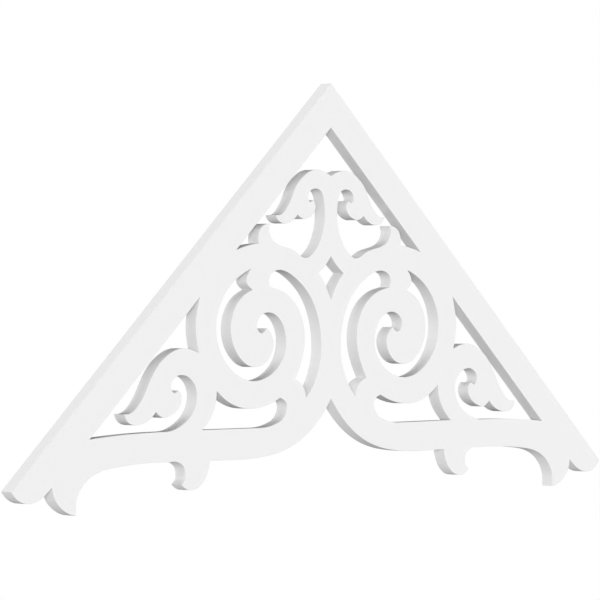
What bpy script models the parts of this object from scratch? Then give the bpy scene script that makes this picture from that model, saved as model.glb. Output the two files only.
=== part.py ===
# Gable pediment: an openwork ornament cut from one flat white sheet, for the peak of a gable.
# Metres, +Z up, +X to the right. The front faces -Y and the back lies in the plane y = 0.
import math

import bpy

OBJECT_NAME = "gable_pediment"

# Driving dimensions
HALF_WIDTH = 0.762       # centre line to the tip at either eave
RISE = 0.6985            # springing line, level with those tips, up to the apex
SHEET = 0.0254           # thickness of the sheet
RAKE_BAND = 0.0582       # width of the sloping band under either rake, square to the slope
MOUNT_HEIGHT = 0.2250    # springing line up to the origin, in the solid web on the centre line
FACET_TURN = 7.5         # most that a curved edge turns between two points, in degrees

# Levels above the springing line
RAIL_UNDER = 0.0368      # underside of the bottom rail
RAIL_TOP = 0.0883        # top of the bottom rail
ARCH_PEAK = 0.1360       # peak of the arch under the middle
LEAF_DIP = 0.5333        # dip between the two leaves
LEAF_CROWN = 0.5436      # highest point of either leaf

# Drops below the springing line
EAVE_DROP = 0.0209       # round under either eave
HOOK_DROP = 0.0134       # round under either hook
FOOT_DROP = 0.0450       # point of either hanging foot

# Distances from the centre line
STEM_HALF = 0.0160       # side of the stem between the leaves, where it is narrowest
WEB_HALF = 0.0250        # side of the web between the crescents, where it is narrowest
BUD_ROOT = 0.2403        # where the bud's stem leaves the rake band
SIDE_STEM_ROOT = 0.3293  # where the side stem leaves the rake band
FOOT_POINT = 0.6190      # point of the hanging foot
SIDE_END = 0.5880        # thin outer end of the side opening

# The diamond on the centre line
DIAMOND_FOOT = 0.3120
DIAMOND_HEAD = 0.3905
DIAMOND_HALF = 0.0330
DIAMOND_MIDDLE = 0.3597

# Colour and finish of the sheet
SHEET_COLOUR = (0.83, 0.83, 0.82, 1.0)
SHEET_ROUGHNESS = 0.45

SLOPE = RISE / HALF_WIDTH
PITCH = math.degrees(math.atan(SLOPE))
INNER_APEX = RISE - RAKE_BAND / math.cos(math.radians(PITCH))


def on_inner_rake(x, heading):
    """Station on the lower edge of the rake band, at x from the centre line."""
    return (x, INNER_APEX - SLOPE * x, heading)


# Each outline is a list of runs, and a run is a smooth edge through its stations. Where two runs meet
# there is a sharp corner. A station is (x, z, heading): x outwards from the centre line and z up from the
# springing line, in metres, and the way the edge runs there in degrees, 0 outwards and 90 up. Outlines
# that cross the centre line start and end on it and are mirrored into a whole one.

RAKE_AND_FOOT = [
    # The rake, from the apex down to the eave
    [(0, RISE, -PITCH), (HALF_WIDTH, 0, -PITCH)],
    # Under the eave to the notch above the foot
    [(HALF_WIDTH, 0, 236), (0.7240, -EAVE_DROP, 180), (0.6900, -0.0100, 146), (0.6715, 0.0045, 142)],
    # Outer side of the hanging foot, to its point
    [(0.6715, 0.0045, 265), (0.6610, -0.0230, 227), (FOOT_POINT, -FOOT_DROP, 186)],
    # Inner side of the foot, along under the bottom rail and round the neck of the hook
    [(FOOT_POINT, -FOOT_DROP, 90), (0.6187, -0.0260, 91), (0.6120, -0.0073, 119), (0.6000, 0.0070, 137),
     (0.5740, 0.0224, 159), (0.5200, 0.0324, 174.5), (0.4400, RAIL_UNDER, 180), (0.3920, RAIL_UNDER, 180),
     (0.3690, 0.0280, 225), (0.3643, 0.0130, 270), (0.3663, 0.0040, 303), (0.3740, -0.0032, 322)],
    # Under the hook and up its inner side
    [(0.3740, -0.0032, 222), (0.3520, -HOOK_DROP, 180), (0.3300, -0.0076, 145), (0.3160, 0.0055, 124),
     (0.3053, 0.0360, 95)],
    # Underside of the middle rail, sweeping up to the peak of the arch
    [(0.3053, 0.0360, 181), (0.2300, 0.0348, 180), (0.1500, 0.0410, 171), (0.0700, 0.0695, 149),
     (0, ARCH_PEAK, 125)],
]

LEAF_OPENING = [
    # Under the rake band, down to the sharp corner at the root of the bud
    [(0, INNER_APEX, -PITCH), on_inner_rake(BUD_ROOT, -PITCH)],
    # Top of the bud's stem
    [on_inner_rake(BUD_ROOT, 161), (0.2120, 0.4070, 167), (0.1840, 0.4110, 176)],
    # Round the back of the bud to its tip
    [(0.1840, 0.4110, 68), (0.1858, 0.4200, 91), (0.1818, 0.4345, 119), (0.1720, 0.4430, 150),
     (0.1560, 0.4460, 180)],
    # Front of the bud, the long sweep below the leaf, up beside the stem and into the curl at the top
    [(0.1560, 0.4460, 295), (0.1587, 0.4350, 270), (0.1540, 0.4225, 240), (0.1410, 0.4116, 205),
     (0.1000, 0.4007, 197), (0.0660, 0.3868, 180), (0.0470, 0.3950, 140), (0.0295, 0.4150, 119),
     (STEM_HALF, 0.4600, 92), (0.0190, 0.4920, 77), (0.0300, 0.5080, 25), (0.0410, 0.5097, 0),
     (0.0593, 0.4940, 270), (0.0530, 0.4863, 180), (0.0465, 0.4895, 140)],
    # Inner edge of the first lobe
    [(0.0465, 0.4895, 220), (0.0400, 0.4785, 270), (0.0660, 0.4558, 350), (0.0860, 0.4633, 42)],
    # Inner edge of the second lobe, to the tip of the leaf
    [(0.0860, 0.4633, 312), (0.1180, 0.4470, 0), (0.1370, 0.4535, 45), (0.1420, 0.4615, 75)],
    # Back along the top of the leaf to the dip on the centre line
    [(0.1420, 0.4615, 180), (0.1310, 0.4620, 170), (0.1110, 0.4775, 129), (0.0975, 0.5000, 110),
     (0.0880, 0.5155, 128), (0.0640, 0.5355, 147), (0.0360, LEAF_CROWN, 180), (0, LEAF_DIP, 204)],
]

DIAMOND = [
    [(0, DIAMOND_HEAD, 305), (DIAMOND_HALF, DIAMOND_MIDDLE, 327)],
    [(DIAMOND_HALF, DIAMOND_MIDDLE, 220), (0, DIAMOND_FOOT, 244)],
]

SIDE_OPENING = [
    # Under the rake band, out to the thin end
    [on_inner_rake(SIDE_STEM_ROOT, -PITCH), on_inner_rake(SIDE_END, -PITCH)],
    # Back along the top of the bottom rail and round the side scroll into its eye
    [on_inner_rake(SIDE_END, 174), (0.5200, 0.0855, 177), (0.4120, RAIL_TOP, 180), (0.3600, 0.1060, 145),
     (0.3363, 0.1470, 91), (0.3750, 0.1844, 0), (0.3910, 0.1790, 325), (0.3988, 0.1660, 270),
     (0.3895, 0.1540, 180), (0.3815, 0.1580, 150)],
    # Inner edge of the first lobe
    [(0.3815, 0.1580, 215), (0.3732, 0.1455, 270), (0.4090, 0.1127, 345), (0.4342, 0.1230, 45)],
    # Inner edge of the second lobe, to the tip of the leaf
    [(0.4342, 0.1230, 310), (0.4800, 0.1013, 0), (0.5030, 0.1100, 50), (0.5085, 0.1205, 75)],
    # Back over the top of the leaf to its root
    [(0.5085, 0.1205, 180), (0.4980, 0.1210, 172), (0.4780, 0.1320, 137), (0.4500, 0.1720, 119),
     (0.4300, 0.2000, 132), (0.4000, 0.2220, 153), (0.3680, 0.2299, 180), (0.3312, 0.2210, 203)],
    # Outer edge of the side stem, up to the rake band
    [(0.3312, 0.2210, 73), (0.3394, 0.2650, 90), on_inner_rake(SIDE_STEM_ROOT, 106)],
]

LOWER_OPENING = [
    # Inner edge of the side stem, down to the corner on the rail
    [(0.2883, 0.1553, 275), (0.2920, 0.1310, 289), (0.3241, 0.0889, 322)],
    # Along the top of the middle rail and round its inner end
    [(0.3241, 0.0889, 180), (0.1800, 0.0885, 180), (0.1330, 0.0977, 159), (0.1137, 0.1250, 90),
     (0.1185, 0.1345, 38), (0.1310, 0.1403, 22)],
    # Under the big scroll
    [(0.1310, 0.1403, 334), (0.2040, 0.1227, 0), (0.2500, 0.1313, 22), (0.2883, 0.1553, 40)],
]

CRESCENT = [
    # Beside the centre web, over the top and back into the corner there
    [(0.0654, 0.1384, 138), (0.0400, 0.1710, 116), (WEB_HALF, 0.2280, 90), (0.0600, 0.3255, 47),
     (0.0920, 0.3510, 31), (0.1320, 0.3649, 0), (0.1587, 0.3460, 270), (0.1565, 0.3350, 255)],
    # Down the inner side of the big scroll
    [(0.1565, 0.3350, 193), (0.1200, 0.3250, 206), (0.0800, 0.2900, 240), (0.0678, 0.2430, 270),
     (0.0934, 0.1718, 302)],
    # The short curved end at the bottom
    [(0.0934, 0.1718, 203), (0.0720, 0.1595, 232), (0.0654, 0.1384, 275)],
]

BIG_SCROLL = [
    # Down the outer side of the channel, round the bottom and over into the eye
    [(0.2045, 0.3662, 340), (0.2660, 0.3260, 310), (0.2897, 0.2640, 270), (0.2700, 0.2085, 231),
     (0.1960, 0.1708, 180), (0.1330, 0.1970, 134), (0.1155, 0.2380, 90), (0.1610, 0.2903, 0),
     (0.1893, 0.2680, 270), (0.1770, 0.2545, 180), (0.1640, 0.2625, 140)],
    # Inner side of the same channel, back to its mouth
    [(0.1640, 0.2625, 216), (0.1475, 0.2370, 270), (0.1630, 0.2060, 319), (0.1950, 0.1952, 0),
     (0.2300, 0.2105, 42), (0.2538, 0.2620, 90), (0.2380, 0.3060, 129), (0.2000, 0.3300, 162)],
    # The round end of the mouth
    [(0.2000, 0.3300, 30), (0.2152, 0.3460, 90), (0.2045, 0.3662, 128)],
]


def direction(heading):
    """Unit step along a heading in degrees."""
    angle = math.radians(heading)
    return math.cos(angle), math.sin(angle)


def angle_between(first, second):
    """Size of the turn from one heading to another, in radians."""
    return abs(math.radians((second - first + 180) % 360 - 180))


def bend(start, end):
    """Points along the smooth edge from one station up to, but not at, the next.

    It is a cubic whose handles lie on the two headings. Their length is the one that makes a circular
    arc when both headings lean the same way from the straight line between the stations.
    """
    x0, z0, heading0 = start
    x1, z1, heading1 = end
    chord = math.hypot(x1 - x0, z1 - z0)
    straight = math.degrees(math.atan2(z1 - z0, x1 - x0))
    turn = angle_between(heading0, straight) + angle_between(straight, heading1)
    reach = chord / (3 * math.cos(turn / 4) ** 2)
    step0 = direction(heading0)
    step1 = direction(heading1)
    handles = [
        (x0, z0),
        (x0 + reach * step0[0], z0 + reach * step0[1]),
        (x1 - reach * step1[0], z1 - reach * step1[1]),
        (x1, z1),
    ]
    count = max(1, math.ceil(math.degrees(turn) / FACET_TURN))
    points = []
    for index in range(count):
        t = index / count
        weights = ((1 - t) ** 3, 3 * t * (1 - t) ** 2, 3 * t * t * (1 - t), t ** 3)
        x = sum(weight * handle[0] for weight, handle in zip(weights, handles))
        z = sum(weight * handle[1] for weight, handle in zip(weights, handles))
        points.append((x, z))
    return points


def trace(runs):
    """Points of all the runs in turn, without the last station of the last run."""
    points = []
    for stations in runs:
        for start, end in zip(stations, stations[1:]):
            points.extend(bend(start, end))
    return points


def mirrored(points):
    """The same points on the other side of the centre line, in the opposite order."""
    return [(-x, z) for x, z in reversed(points)]


def across(runs):
    """Whole outline of one that starts and ends on the centre line."""
    half = trace(runs)
    end_x, end_z, _ = runs[-1][-1]
    return half + [(end_x, end_z)] + mirrored(half[1:])


def pair(runs):
    """The outline on the right, and its mirror image on the left."""
    points = trace(runs)
    return [points, mirrored(points)]


def sheet_material():
    """Smooth white sheet with a soft sheen."""
    material = bpy.data.materials.new("white_sheet")
    material.use_nodes = True
    shader = material.node_tree.nodes["Principled BSDF"]
    shader.inputs["Base Color"].default_value = SHEET_COLOUR
    shader.inputs["Roughness"].default_value = SHEET_ROUGHNESS
    shader.inputs["Metallic"].default_value = 0.0
    return material


def add_outline(curve, points):
    """Adds one closed outline to a flat curve."""
    spline = curve.splines.new("POLY")
    spline.points.add(len(points) - 1)
    for point, (x, z) in zip(spline.points, points):
        point.co = (x, z, 0, 1)
    spline.use_cyclic_u = True


def gable_pediment(collection):
    """The whole ornament: one outer outline, and the openings cut through it."""
    outlines = [across(RAKE_AND_FOOT), across(LEAF_OPENING), across(DIAMOND)]
    for opening in (SIDE_OPENING, LOWER_OPENING, CRESCENT, BIG_SCROLL):
        outlines.extend(pair(opening))
    curve = bpy.data.curves.new(OBJECT_NAME, "CURVE")
    curve.dimensions = "2D"
    curve.fill_mode = "BOTH"
    curve.extrude = SHEET / 2
    for points in outlines:
        add_outline(curve, points)
    curve.materials.append(sheet_material())
    # The flat curve is drawn lying down, then stood up with its front towards -Y
    panel = bpy.data.objects.new(OBJECT_NAME, curve)
    panel.rotation_euler = (math.radians(90), 0, 0)
    panel.location = (0, -SHEET / 2, -MOUNT_HEIGHT)
    collection.objects.link(panel)


def main():
    for old in list(bpy.data.objects):
        bpy.data.objects.remove(old, do_unlink=True)
    collection = bpy.data.collections.new(OBJECT_NAME)
    bpy.context.scene.collection.children.link(collection)
    gable_pediment(collection)


main()
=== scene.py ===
import math

import bpy
import numpy as np
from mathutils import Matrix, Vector
from mathutils.geometry import delaunay_2d_cdt


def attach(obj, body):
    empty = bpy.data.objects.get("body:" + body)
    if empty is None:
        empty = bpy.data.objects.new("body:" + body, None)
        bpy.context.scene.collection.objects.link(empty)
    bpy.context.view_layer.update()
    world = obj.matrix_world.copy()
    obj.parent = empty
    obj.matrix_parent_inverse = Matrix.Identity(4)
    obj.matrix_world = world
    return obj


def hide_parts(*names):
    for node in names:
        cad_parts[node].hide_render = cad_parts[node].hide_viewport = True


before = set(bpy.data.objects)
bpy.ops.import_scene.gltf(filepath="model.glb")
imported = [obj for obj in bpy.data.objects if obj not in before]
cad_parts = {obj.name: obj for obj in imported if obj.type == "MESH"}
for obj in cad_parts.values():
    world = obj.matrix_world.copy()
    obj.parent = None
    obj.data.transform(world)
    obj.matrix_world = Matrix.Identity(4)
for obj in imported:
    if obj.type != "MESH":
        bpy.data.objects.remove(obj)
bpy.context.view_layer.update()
print("frame loaded")

# The pediment is one flat white sheet, with its outline and openings cut square through it
pediment = {
    "halfWidth": 0.762,       # centre line to the tip at either eave
    "rise": 0.6985,           # springing line, level with those tips, up to the apex
    "sheet": 0.0254,          # thickness
    "rakeBand": 0.0582,       # sloping band under either rake, square to the slope
    "mountHeight": 0.2250,    # springing line up to the origin
    "easing": 0.0003,         # radius of the eased edges, front and back
    "easingSteps": 3,
    "turnStep": 2.5,          # degrees that a curved edge turns between two points
    "longestStep": 0.012,
    "sharpFrom": 25,          # degrees between two faces from which the edge stays crisp
    "fillTolerance": 1e-9,    # how near two points have to be for the flat fill to join them
}

slope = pediment["rise"] / pediment["halfWidth"]
pitch = math.degrees(math.atan(slope))
innerApex = pediment["rise"] - pediment["rakeBand"] / math.cos(math.radians(pitch))


def onInnerRake(x, heading):
    return (x, innerApex - slope * x, heading)


# A run is a smooth edge through its stations, and runs meet in sharp corners. A station is x outwards from
# the centre line, z up from the springing line, and the heading there: 0 outwards, 90 up.

rakeAndFoot = [
    # rake, apex to eave
    [(0, pediment["rise"], -pitch), (pediment["halfWidth"], 0, -pitch)],
    # under the eave to the notch
    [(pediment["halfWidth"], 0, 236), (0.7240, -0.0209, 180), (0.6900, -0.0100, 146), (0.6715, 0.0045, 142)],
    # hanging foot, outer side
    [(0.6715, 0.0045, 265), (0.6610, -0.0230, 227), (0.6190, -0.0450, 186)],
    # inner side of the foot, under the bottom rail, round the neck of the hook
    [(0.6190, -0.0450, 90), (0.6187, -0.0260, 91), (0.6120, -0.0073, 119), (0.6000, 0.0070, 137),
     (0.5740, 0.0224, 159), (0.5200, 0.0324, 174.5), (0.4400, 0.0368, 180), (0.3920, 0.0368, 180),
     (0.3690, 0.0280, 225), (0.3643, 0.0130, 270), (0.3663, 0.0040, 303), (0.3740, -0.0032, 322)],
    # under the hook and up its inner side
    [(0.3740, -0.0032, 222), (0.3520, -0.0134, 180), (0.3300, -0.0076, 145), (0.3160, 0.0055, 124),
     (0.3053, 0.0360, 95)],
    # under the middle rail, up to the peak of the arch
    [(0.3053, 0.0360, 181), (0.2300, 0.0348, 180), (0.1500, 0.0410, 171), (0.0700, 0.0695, 149),
     (0, 0.1360, 125)],
]

leafOpening = [
    [(0, innerApex, -pitch), onInnerRake(0.2403, -pitch)],
    # top of the bud's stem
    [onInnerRake(0.2403, 161), (0.2120, 0.4070, 167), (0.1840, 0.4110, 176)],
    # back of the bud
    [(0.1840, 0.4110, 68), (0.1858, 0.4200, 91), (0.1818, 0.4345, 119), (0.1720, 0.4430, 150),
     (0.1560, 0.4460, 180)],
    # front of the bud, below the leaf, up beside the stem and into the curl
    [(0.1560, 0.4460, 295), (0.1587, 0.4350, 270), (0.1540, 0.4225, 240), (0.1410, 0.4116, 205),
     (0.1000, 0.4007, 197), (0.0660, 0.3868, 180), (0.0470, 0.3950, 140), (0.0295, 0.4150, 119),
     (0.0160, 0.4600, 92), (0.0190, 0.4920, 77), (0.0300, 0.5080, 25), (0.0410, 0.5097, 0),
     (0.0593, 0.4940, 270), (0.0530, 0.4863, 180), (0.0465, 0.4895, 140)],
    # first lobe
    [(0.0465, 0.4895, 220), (0.0400, 0.4785, 270), (0.0660, 0.4558, 350), (0.0860, 0.4633, 42)],
    # second lobe, to the tip
    [(0.0860, 0.4633, 312), (0.1180, 0.4470, 0), (0.1370, 0.4535, 45), (0.1420, 0.4615, 75)],
    # top of the leaf, back to the dip on the centre line
    [(0.1420, 0.4615, 180), (0.1310, 0.4620, 170), (0.1110, 0.4775, 129), (0.0975, 0.5000, 110),
     (0.0880, 0.5155, 128), (0.0640, 0.5355, 147), (0.0360, 0.5436, 180), (0, 0.5333, 204)],
]

diamond = [
    [(0, 0.3905, 305), (0.0330, 0.3597, 327)],
    [(0.0330, 0.3597, 220), (0, 0.3120, 244)],
]

sideOpening = [
    [onInnerRake(0.3293, -pitch), onInnerRake(0.5880, -pitch)],
    # top of the bottom rail, round the side scroll and into its eye
    [onInnerRake(0.5880, 174), (0.5200, 0.0855, 177), (0.4120, 0.0883, 180), (0.3600, 0.1060, 145),
     (0.3363, 0.1470, 91), (0.3750, 0.1844, 0), (0.3910, 0.1790, 325), (0.3988, 0.1660, 270),
     (0.3895, 0.1540, 180), (0.3815, 0.1580, 150)],
    # first lobe
    [(0.3815, 0.1580, 215), (0.3732, 0.1455, 270), (0.4090, 0.1127, 345), (0.4342, 0.1230, 45)],
    # second lobe, to the tip
    [(0.4342, 0.1230, 310), (0.4800, 0.1013, 0), (0.5030, 0.1100, 50), (0.5085, 0.1205, 75)],
    # back over the top of the leaf
    [(0.5085, 0.1205, 180), (0.4980, 0.1210, 172), (0.4780, 0.1320, 137), (0.4500, 0.1720, 119),
     (0.4300, 0.2000, 132), (0.4000, 0.2220, 153), (0.3680, 0.2299, 180), (0.3312, 0.2210, 203)],
    # outer edge of the side stem
    [(0.3312, 0.2210, 73), (0.3394, 0.2650, 90), onInnerRake(0.3293, 106)],
]

lowerOpening = [
    # inner edge of the side stem
    [(0.2883, 0.1553, 275), (0.2920, 0.1310, 289), (0.3241, 0.0889, 322)],
    # top of the middle rail, round its inner end
    [(0.3241, 0.0889, 180), (0.1800, 0.0885, 180), (0.1330, 0.0977, 159), (0.1137, 0.1250, 90),
     (0.1185, 0.1345, 38), (0.1310, 0.1403, 22)],
    # under the big scroll
    [(0.1310, 0.1403, 334), (0.2040, 0.1227, 0), (0.2500, 0.1313, 22), (0.2883, 0.1553, 40)],
]

crescent = [
    # beside the centre web and over the top
    [(0.0654, 0.1384, 138), (0.0400, 0.1710, 116), (0.0250, 0.2280, 90), (0.0600, 0.3255, 47),
     (0.0920, 0.3510, 31), (0.1320, 0.3649, 0), (0.1587, 0.3460, 270), (0.1565, 0.3350, 255)],
    # inner side of the big scroll
    [(0.1565, 0.3350, 193), (0.1200, 0.3250, 206), (0.0800, 0.2900, 240), (0.0678, 0.2430, 270),
     (0.0934, 0.1718, 302)],
    # short curved end
    [(0.0934, 0.1718, 203), (0.0720, 0.1595, 232), (0.0654, 0.1384, 275)],
]

bigScroll = [
    # outer side of the channel, round the bottom and over into the eye
    [(0.2045, 0.3662, 340), (0.2660, 0.3260, 310), (0.2897, 0.2640, 270), (0.2700, 0.2085, 231),
     (0.1960, 0.1708, 180), (0.1330, 0.1970, 134), (0.1155, 0.2380, 90), (0.1610, 0.2903, 0),
     (0.1893, 0.2680, 270), (0.1770, 0.2545, 180), (0.1640, 0.2625, 140)],
    # inner side, back to the mouth
    [(0.1640, 0.2625, 216), (0.1475, 0.2370, 270), (0.1630, 0.2060, 319), (0.1950, 0.1952, 0),
     (0.2300, 0.2105, 42), (0.2538, 0.2620, 90), (0.2380, 0.3060, 129), (0.2000, 0.3300, 162)],
    # round end of the mouth
    [(0.2000, 0.3300, 30), (0.2152, 0.3460, 90), (0.2045, 0.3662, 128)],
]


def headingStep(heading):
    return np.array([math.cos(math.radians(heading)), math.sin(math.radians(heading))])


def turnBetween(first, second):
    return abs((second - first + 180) % 360 - 180)


def bend(start, end):
    # Cubic from one station to the next, with its handles on the two headings. Each handle is the chord over
    # three times the squared cosine of a quarter of the turn, which makes a circular arc of an even bend.
    a, b = np.array(start[:2]), np.array(end[:2])
    chord = np.hypot(*(b - a))
    straight = math.degrees(math.atan2(b[1] - a[1], b[0] - a[0]))
    turn = turnBetween(start[2], straight) + turnBetween(straight, end[2])
    reach = chord / (3 * math.cos(math.radians(turn) / 4) ** 2)
    handles = np.stack([a, a + reach * headingStep(start[2]), b - reach * headingStep(end[2]), b])
    count = max(math.ceil(turn / pediment["turnStep"]), math.ceil(chord / pediment["longestStep"]))
    t = np.arange(count) / count
    weights = np.stack([(1 - t) ** 3, 3 * t * (1 - t) ** 2, 3 * t ** 2 * (1 - t), t ** 3], axis=1)
    return weights @ handles


def trace(runs):
    return np.concatenate([bend(a, b) for stations in runs for a, b in zip(stations, stations[1:])])


def mirrored(points):
    return points[::-1] * (-1, 1)


def across(runs):
    half = trace(runs)
    return np.concatenate([half, [runs[-1][-1][:2]], mirrored(half[1:])])


def withTwin(runs):
    points = trace(runs)
    return [points, mirrored(points)]


def sheetOnLeft(points, isOuter):
    # Twice the enclosed area is the sum of x times next z less next x times z: above 0 runs anticlockwise
    x, z = points.T
    anticlockwise = (x * np.roll(z, -1) - np.roll(x, -1) * z).sum() > 0
    return points if anticlockwise == isOuter else points[::-1]


def edgeProfile():
    # Across a cut edge, front to back: how far in from the outline, and y. A quarter round goes in by its
    # radius times one less the sine of its angle, and back by the radius times one less the cosine.
    radius, sheet = pediment["easing"], pediment["sheet"]
    angle = np.linspace(0, math.pi / 2, pediment["easingSteps"] + 1)
    front = np.stack([radius * (1 - np.sin(angle)), radius * (1 - np.cos(angle)) - sheet], axis=1)
    back = front[::-1] * (1, -1) - (0, sheet)
    return np.concatenate([front, back])


def carried(points, profile):
    # The profile carried round an outline. Each point moves into the sheet along the mitre of its two edges:
    # the sum of their inward normals over one plus their dot product.
    ahead = np.roll(points, -1, axis=0) - points
    ahead /= np.linalg.norm(ahead, axis=1, keepdims=True)
    inward = ahead[:, ::-1] * (-1, 1)
    before = np.roll(inward, 1, axis=0)
    mitre = (inward + before) / (1 + (inward * before).sum(axis=1, keepdims=True))
    flat = points + profile[:, None, :1] * mitre
    y = np.broadcast_to(profile[:, None, 1:], flat[..., :1].shape)
    return np.concatenate([flat[..., :1], y, flat[..., 1:] - pediment["mountHeight"]], axis=2)


def flatFill(rings):
    # Triangles between the outer ring and the holes, as numbers into the joined rings. The fill covers the
    # holes as well, so only the triangles that belong to the outer ring alone are kept.
    counts = [len(ring) for ring in rings]
    starts = np.cumsum([0] + counts[:-1])
    faces = [(start + np.arange(count)).tolist() for start, count in zip(starts, counts)]
    faces[1:] = [face[::-1] for face in faces[1:]]   # anticlockwise, as the outer one is
    flat = np.concatenate(rings)
    insideOnly = 1
    _, _, triangles, origins, _, owners = delaunay_2d_cdt(
        flat.tolist(), [], faces, insideOnly, pediment["fillTolerance"])
    first = np.array([origin[0] for origin in origins])
    kept = np.array([owner == [0] for owner in owners])
    corners = first[np.array(triangles)[kept]]
    p, q, r = flat[corners].transpose(1, 0, 2)
    clockwise = (q[:, 0] - p[:, 0]) * (r[:, 1] - p[:, 1]) < (r[:, 0] - p[:, 0]) * (q[:, 1] - p[:, 1])
    corners[clockwise] = corners[clockwise][:, ::-1]
    return corners


def outlines():
    loops = [sheetOnLeft(across(rakeAndFoot), True)]
    for runs in (leafOpening, diamond):
        loops.append(sheetOnLeft(across(runs), False))
    for runs in (sideOpening, lowerOpening, crescent, bigScroll):
        loops.extend(sheetOnLeft(points, False) for points in withTwin(runs))
    return loops


def ringQuads(ids):
    # Quads between neighbouring rows of a grid of vertex numbers whose rows are closed rings
    nextIds = np.roll(ids, -1, axis=1)
    return np.stack([ids[:-1], ids[1:], nextIds[1:], nextIds[:-1]], axis=-1).reshape(-1, 4)


def edgeUv(points, profile):
    # For each corner of those quads, u is the length along the outline and v the depth
    run = np.concatenate([[0], np.linalg.norm(np.roll(points, -1, axis=0) - points, axis=1).cumsum()])
    at = np.stack(np.meshgrid(run, profile[:, 1]), axis=-1)
    return np.stack([at[:-1, :-1], at[1:, :-1], at[1:, 1:], at[:-1, 1:]], axis=2).reshape(-1, 2)


def setCreases(mesh, isCut, rowOf):
    # Crisp at the outline's corners, and along both lines where the easing meets the straight cut
    mesh.set_sharp_from_angle(angle=math.radians(pediment["sharpFrom"]))
    mesh.polygons.foreach_set("use_smooth", isCut)   # after it, because it smooths the flat faces too
    ends = np.zeros(len(mesh.edges) * 2, np.int32)
    mesh.edges.foreach_get("vertices", ends)
    row, otherRow = rowOf[ends.reshape(-1, 2)].T
    easingEnds = (pediment["easingSteps"], rowOf.max() - pediment["easingSteps"])
    alongEasing = (row == otherRow) & np.isin(row, easingEnds)
    sharp = np.zeros(len(mesh.edges), bool)
    mesh.attributes["sharp_edge"].data.foreach_get("value", sharp)
    mesh.attributes["sharp_edge"].data.foreach_set("value", sharp | alongEasing)


def addObject(name, data):
    item = bpy.data.objects.new(name, data)
    bpy.context.scene.collection.objects.link(item)
    return item


def makePediment():
    loops = outlines()
    profile = edgeProfile()
    rows = len(profile)
    places, rowOf, quads, quadUv, rings, frontIds, backIds = [], [], [], [], [], [], []
    start = 0
    for points in loops:
        grid = carried(points, profile)
        ids = start + np.arange(rows * len(points)).reshape(rows, -1)
        start += ids.size
        places.append(grid.reshape(-1, 3))
        rowOf.append(np.repeat(np.arange(rows), len(points)))
        quads.append(ringQuads(ids))
        quadUv.append(edgeUv(points, profile))
        rings.append(grid[0][:, ::2])
        frontIds.append(ids[0])
        backIds.append(ids[-1])

    places = np.concatenate(places)
    quads = np.concatenate(quads)
    fill = flatFill(rings)
    frontFaces = np.concatenate(frontIds)[fill]
    backFaces = np.concatenate(backIds)[fill][:, ::-1]
    triangles = np.concatenate([frontFaces, backFaces])
    flatUv = places[triangles.ravel()][:, ::2]       # x and z

    mesh = bpy.data.meshes.new("gablePediment")
    mesh.from_pydata(places.tolist(), [], quads.tolist() + triangles.tolist())
    uvMap = mesh.uv_layers.new(name="sheetUv")
    uvMap.data.foreach_set("uv", np.concatenate(quadUv + [flatUv]).ravel())
    isCut = np.arange(len(mesh.polygons)) < len(quads)
    mesh.polygons.foreach_set("material_index", isCut.astype(np.int32))
    mesh.update()
    setCreases(mesh, isCut, np.concatenate(rowOf))
    print("pediment:", len(quads) * 2 + len(triangles), "triangles in", len(loops), "outlines")
    return addObject("gablePediment", mesh)


def newMaterial(name):
    material = bpy.data.materials.new(name)
    material.use_nodes = True
    return material, material.node_tree, material.node_tree.nodes["Principled BSDF"]


def addNode(tree, kind, place, inputs=None, **settings):
    node = tree.nodes.new(kind)
    node.location = place
    for name, value in settings.items():
        setattr(node, name, value)
    for name, value in (inputs or {}).items():
        if isinstance(value, bpy.types.NodeSocket):
            tree.links.new(value, node.inputs[name])
        else:
            node.inputs[name].default_value = value
    return node


def noiseOf(tree, place, at, scale, detail, **more):
    inputs = {"Vector": at, "Scale": scale, "Detail": detail, **more}
    return addNode(tree, "ShaderNodeTexNoise", place, inputs).outputs["Fac"]


def scaled(tree, place, at, scale):
    return addNode(tree, "ShaderNodeMapping", place, {"Vector": at, "Scale": scale}).outputs["Vector"]


noiseSpan = (0.3, 0.7)                       # nearly all of a noise texture's values lie between these


def finishShader(tree, shader, finish, colourBy, roughnessBy, height):
    # The colour and roughness go from one end of the finish to the other with their patterns
    colour = addNode(tree, "ShaderNodeMix", (-350, 300), {"Factor": colourBy}, data_type="RGBA")
    colour.inputs["A"].default_value = finish["white"]
    colour.inputs["B"].default_value = finish["shade"]
    tree.links.new(colour.outputs["Result"], shader.inputs["Base Color"])
    rough = addNode(tree, "ShaderNodeMapRange", (-350, 0),
                    {"Value": roughnessBy, "From Min": noiseSpan[0], "From Max": noiseSpan[1],
                     "To Min": finish["roughness"][0], "To Max": finish["roughness"][1]})
    tree.links.new(rough.outputs["Result"], shader.inputs["Roughness"])
    bump = addNode(tree, "ShaderNodeBump", (-350, -300),
                   {"Height": height, "Distance": finish["depth"], "Strength": finish["bumpStrength"]})
    tree.links.new(bump.outputs["Normal"], shader.inputs["Normal"])


# Each pattern of a finish is its scale per metre and its octaves of detail
faceFinish = {
    "white": (0.82, 0.82, 0.82, 1),
    "shade": (0.814, 0.814, 0.814, 1),       # the mottling's darker end
    "roughness": (0.58, 0.64),
    "specular": 0.35,
    "mottling": (7.0, 4.0),
    "mottlingRoughness": 0.55,
    "dieLines": (160.0, 3.0),                # faint lines along the sheet
    "dieLineSqueeze": (0.01, 1.0, 1.0),      # they run along x
    "peel": (800.0, 2.0),                    # orange peel
    "depth": 0.00008,
    "bumpStrength": 1.0,
}


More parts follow.
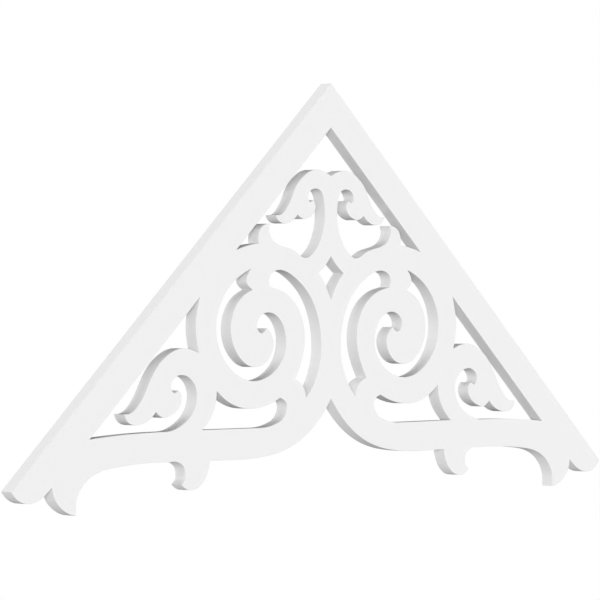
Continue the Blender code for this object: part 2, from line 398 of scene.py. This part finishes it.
def faceMaterial():
    material, tree, shader = newMaterial("sheetFace")
    at = addNode(tree, "ShaderNodeTexCoord", (-1100, 0)).outputs["Object"]
    mottle = noiseOf(tree, (-700, 300), at, *faceFinish["mottling"],
                     Roughness=faceFinish["mottlingRoughness"])
    squeezed = scaled(tree, (-900, 0), at, faceFinish["dieLineSqueeze"])
    lines = noiseOf(tree, (-700, 0), squeezed, *faceFinish["dieLines"])
    peel = noiseOf(tree, (-700, -300), at, *faceFinish["peel"])
    finishShader(tree, shader, faceFinish, mottle, lines, peel)
    shader.inputs["Specular IOR Level"].default_value = faceFinish["specular"]
    return material


# The cut edges are a darker white than the faces
cutFinish = {
    "white": (0.64, 0.64, 0.64, 1),
    "shade": (0.61, 0.61, 0.61, 1),
    "roughness": (0.55, 0.70),
    "feedMarks": (450.0, 1.0),               # cutter marks square to the sheet
    "feedSqueeze": (1.0, 0.02, 1.0),
    "scores": (700.0, 2.0),                  # lines along the edge
    "scoreSqueeze": (0.01, 1.0, 1.0),
    "cells": (800.0, 1.0),                   # open cells of the foamed core
    "depth": 0.0001,
    "bumpStrength": 0.6,
}


def cutMaterial():
    material, tree, shader = newMaterial("sheetCut")
    coordinates = addNode(tree, "ShaderNodeTexCoord", (-1300, 0))
    along, solid = coordinates.outputs["UV"], coordinates.outputs["Object"]
    feed = noiseOf(tree, (-900, 0), scaled(tree, (-1100, 0), along, cutFinish["feedSqueeze"]),
                   *cutFinish["feedMarks"])
    score = noiseOf(tree, (-900, -300), scaled(tree, (-1100, -300), along, cutFinish["scoreSqueeze"]),
                    *cutFinish["scores"])
    cells = noiseOf(tree, (-900, 300), solid, *cutFinish["cells"])
    marks = addNode(tree, "ShaderNodeMath", (-650, -150), {0: feed, 1: score}, operation="ADD")
    finishShader(tree, shader, cutFinish, cells, cells, marks.outputs["Value"])
    return material


piece = makePediment()
piece.data.materials.append(faceMaterial())
piece.data.materials.append(cutMaterial())
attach(piece, "root")
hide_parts("gable_pediment")

floorLook = {
    "radius": 6.0,
    "fadeFrom": 2.5,          # it thins out to the white surroundings from here to its rim
    "hub": 0.01,              # radius of the innermost ring
    "rings": 13,
    "spokes": 96,
    "height": -1.25,
    "colour": (0.80, 0.80, 0.80, 1),
    "roughness": 0.6,
}


def makeFloor():
    # Rings about the vertical axis: x and y are the radius times the cosine and sine of the angle
    radii = np.linspace(floorLook["hub"], floorLook["radius"], floorLook["rings"])
    angles = np.linspace(0, 2 * math.pi, floorLook["spokes"], endpoint=False)
    radius, angle = np.meshgrid(radii, angles, indexing="ij")
    height = np.full_like(radius, floorLook["height"])
    places = np.stack([radius * np.cos(angle), radius * np.sin(angle), height], axis=-1)
    ids = np.arange(radius.size).reshape(radius.shape)
    mesh = bpy.data.meshes.new("floor")
    mesh.from_pydata(places.reshape(-1, 3).tolist(), [], ringQuads(ids).tolist() + [ids[0].tolist()])
    mesh.update()
    floor = addObject("floor", mesh)
    material, tree, shader = newMaterial("paleFloor")
    shader.inputs["Base Color"].default_value = floorLook["colour"]
    shader.inputs["Roughness"].default_value = floorLook["roughness"]
    at = addNode(tree, "ShaderNodeTexCoord", (-900, 300)).outputs["Object"]
    flat = addNode(tree, "ShaderNodeVectorMath", (-700, 300), {0: at, 1: (1, 1, 0)}, operation="MULTIPLY")
    away = addNode(tree, "ShaderNodeVectorMath", (-500, 300), {0: flat.outputs["Vector"]}, operation="LENGTH")
    fade = addNode(tree, "ShaderNodeMapRange", (-300, 300),
                   {"Value": away.outputs["Value"], "From Min": floorLook["fadeFrom"],
                    "From Max": floorLook["radius"]}, interpolation_type="SMOOTHSTEP")
    clear = addNode(tree, "ShaderNodeBsdfTransparent", (0, -200))
    mix = addNode(tree, "ShaderNodeMixShader", (300, 100), {0: fade.outputs["Result"]})
    tree.links.new(shader.outputs[0], mix.inputs[1])
    tree.links.new(clear.outputs[0], mix.inputs[2])
    tree.links.new(mix.outputs[0], tree.nodes["Material Output"].inputs["Surface"])
    mesh.materials.append(material)
    # the floor is only looked at: the far lights carry what it would throw back
    floor.visible_diffuse = False
    floor.visible_glossy = False
    floor.visible_shadow = False
    return floor


makeFloor()
print("floor made")

# Each soft far light: azimuth from +x towards +y and elevation, both in degrees, then its strength, then how
# many degrees wide it is
farLights = {
    "key": (225, 3, 3.41, 30),
    "leftAbove": (180, 60, 1.73, 50),
    "leftBelow": (180, -30, 0.16, 40),
    "right": (345, 0, 0.95, 35),
    "under": (0, -90, 0.91, 60),
    "backLeft": (155, 5, 0.26, 40),
    "back": (90, 2, 2.20, 10),
}

lampDistance = 5              # only where its mark stands, because a far light shines the same from anywhere

# The surroundings are plain white to look at, and dimmer as a light
surroundings = {"colour": (1, 1, 1, 1), "seen": 1.0, "light": 0.14}


def makeLights():
    for name, (azimuth, elevation, strength, width) in farLights.items():
        az, el = math.radians(azimuth), math.radians(elevation)
        towards = Vector((math.cos(az) * math.cos(el), math.sin(az) * math.cos(el), math.sin(el)))
        data = bpy.data.lights.new(name, "SUN")
        data.energy = strength
        data.angle = math.radians(width)
        lamp = addObject(name, data)
        lamp.location = towards * lampDistance
        lamp.rotation_euler = towards.to_track_quat("Z", "Y").to_euler()


def makeSurroundings():
    world = bpy.data.worlds.new("surroundings")
    world.use_nodes = True
    bpy.context.scene.world = world
    tree = world.node_tree
    shine = tree.nodes["Background"]
    shine.inputs["Color"].default_value = surroundings["colour"]
    shine.inputs["Strength"].default_value = surroundings["light"]
    seen = addNode(tree, "ShaderNodeBackground", (0, -150),
                   {"Color": surroundings["colour"], "Strength": surroundings["seen"]})
    path = addNode(tree, "ShaderNodeLightPath", (-200, 200))
    mix = addNode(tree, "ShaderNodeMixShader", (250, 0), {0: path.outputs["Is Camera Ray"]})
    tree.links.new(shine.outputs[0], mix.inputs[1])
    tree.links.new(seen.outputs[0], mix.inputs[2])
    tree.links.new(mix.outputs[0], tree.nodes["World Output"].inputs["Surface"])


viewpoint = {
    "place": (-4.5901, -4.3221, 0.10155),
    "tilt": -0.1335,          # degrees above level, so it looks down a little
    "heading": -46.385,       # degrees from +y towards -x
    "lens": 211.36,           # millimetres, as the sensor is
    "sensor": 36,
    "farthest": 100,
}


def makeCamera():
    data = bpy.data.cameras.new("camera")
    data.lens = viewpoint["lens"]
    data.sensor_width = viewpoint["sensor"]
    data.clip_end = viewpoint["farthest"]
    camera = addObject("camera", data)
    camera.location = viewpoint["place"]
    camera.rotation_euler = (math.radians(90 + viewpoint["tilt"]), 0, math.radians(viewpoint["heading"]))
    bpy.context.scene.camera = camera


makeLights()
makeSurroundings()
makeCamera()
bpy.context.scene.view_settings.view_transform = "Standard"
print("lights and camera placed")
